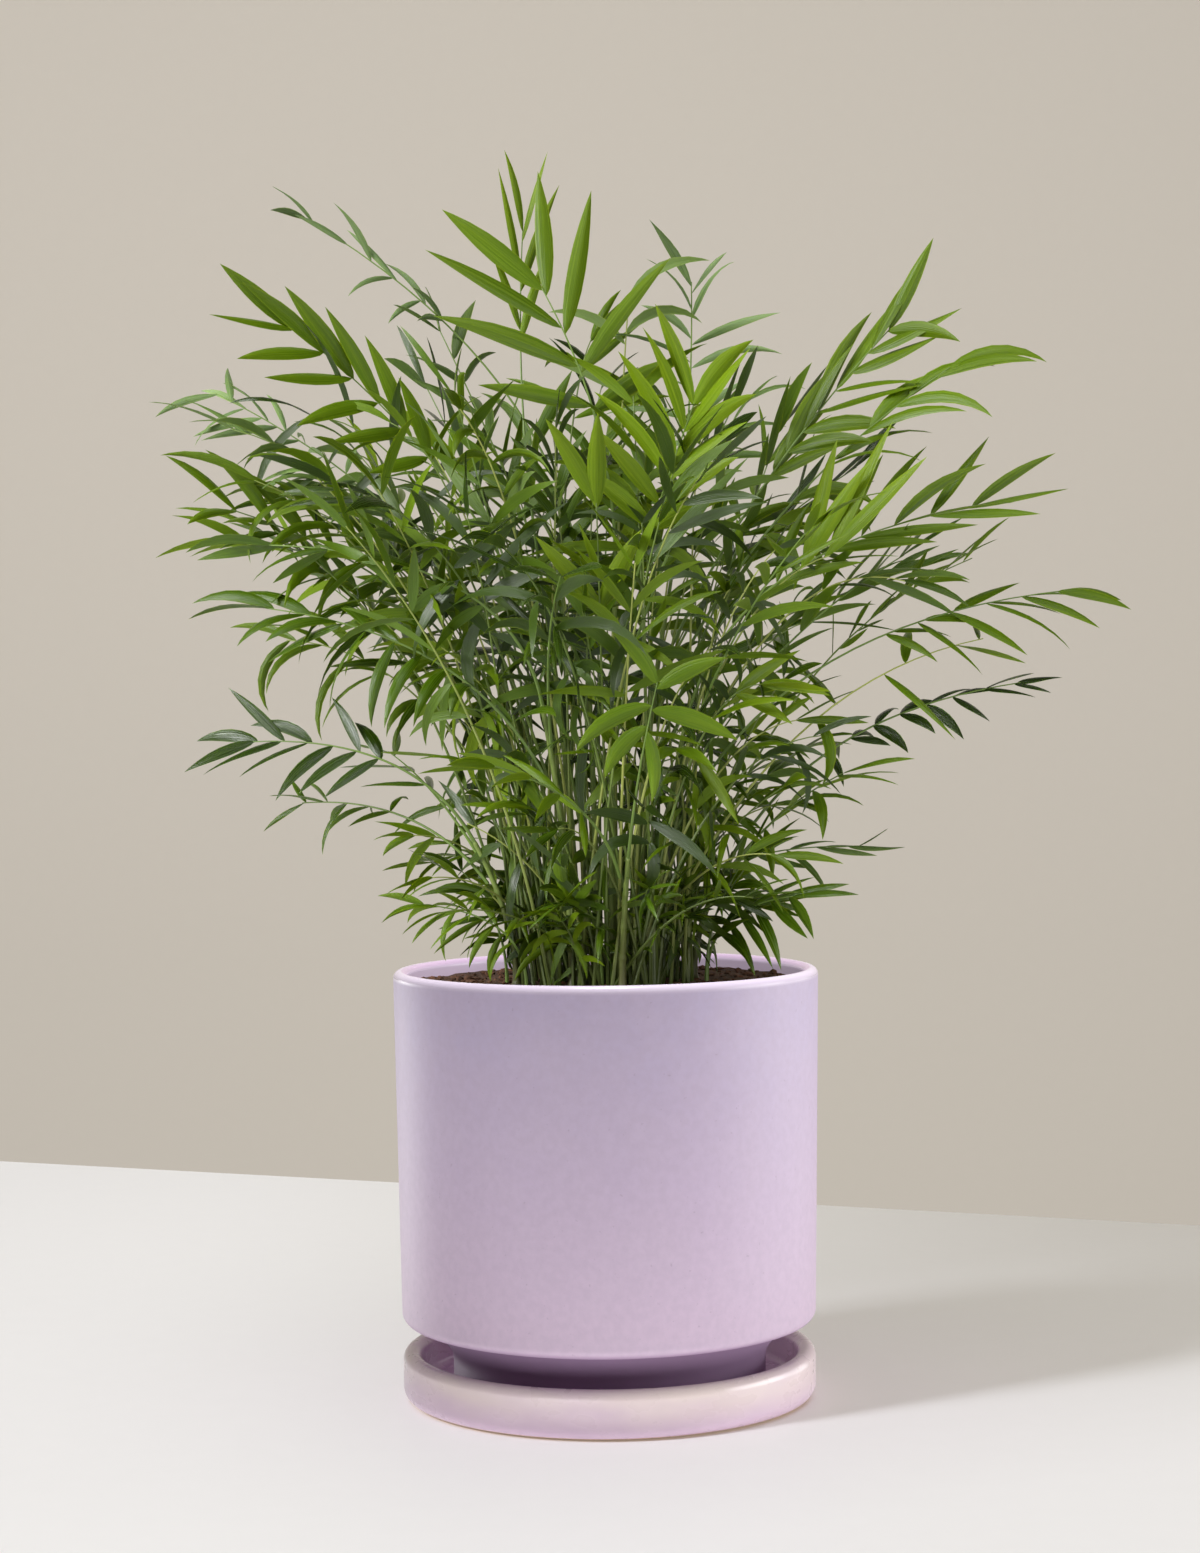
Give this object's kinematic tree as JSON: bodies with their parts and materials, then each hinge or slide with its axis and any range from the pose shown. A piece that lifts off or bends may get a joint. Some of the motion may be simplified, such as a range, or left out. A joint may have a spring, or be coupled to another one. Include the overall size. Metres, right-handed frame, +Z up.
{
  "type": "potted parlour palm",
  "caption": "Clump of arching feather-leaved palm fronds growing from potting soil in a straight-sided glazed pot on a matching drip saucer.",
  "frame": {"origin": "centre of the saucer's flat underside", "axes": "+Z up, -Y the front that the picture shows, +X to the picture's right"},
  "size_m": [0.5044, 0.3692, 0.6324],
  "materials": {
    "pot": "satin lilac glaze",
    "saucer": "glossy pinkish lilac glaze",
    "soil": "crumbly matte potting mix",
    "stalk": "smooth pale green cane",
    "leaf": "satin green leaflets"
  },
  "bodies": {
    "root": {"frond_01": "leaf", "frond_02": "leaf", "frond_03": "leaf", "frond_04": "leaf", "frond_05": "leaf", "frond_06": "leaf", "frond_07": "leaf", "frond_08": "leaf", "frond_09": "leaf", "frond_10": "leaf", "frond_11": "leaf", "frond_12": "leaf", "frond_13": "leaf", "frond_14": "leaf", "frond_15": "leaf", "frond_16": "leaf", "frond_17": "leaf", "frond_18": "leaf", "frond_19": "leaf", "frond_20": "leaf", "frond_21": "leaf", "frond_22": "leaf", "frond_23": "leaf", "frond_24": "leaf", "frond_25": "leaf", "frond_26": "leaf", "frond_27": "leaf", "frond_28": "leaf", "frond_29": "leaf", "frond_30": "leaf", "frond_31": "leaf", "frond_32": "leaf", "frond_33": "leaf", "frond_34": "leaf", "frond_35": "leaf", "frond_36": "leaf", "frond_37": "leaf", "frond_38": "leaf", "frond_39": "leaf", "frond_40": "leaf", "frond_41": "leaf", "frond_42": "leaf", "frond_43": "leaf", "frond_44": "leaf", "frond_45": "leaf", "pot": "pot", "saucer": "saucer", "soil": "soil", "stem_inner_1": "stalk", "stem_inner_2": "stalk", "stem_inner_3": "stalk", "stem_inner_4": "stalk", "stem_middle_1": "stalk", "stem_middle_2": "stalk", "stem_middle_3": "stalk", "stem_middle_4": "stalk", "stem_outer_1": "stalk", "stem_outer_2": "stalk", "stem_outer_3": "stalk", "stem_outer_4": "stalk"}
  },
  "joints": []
}
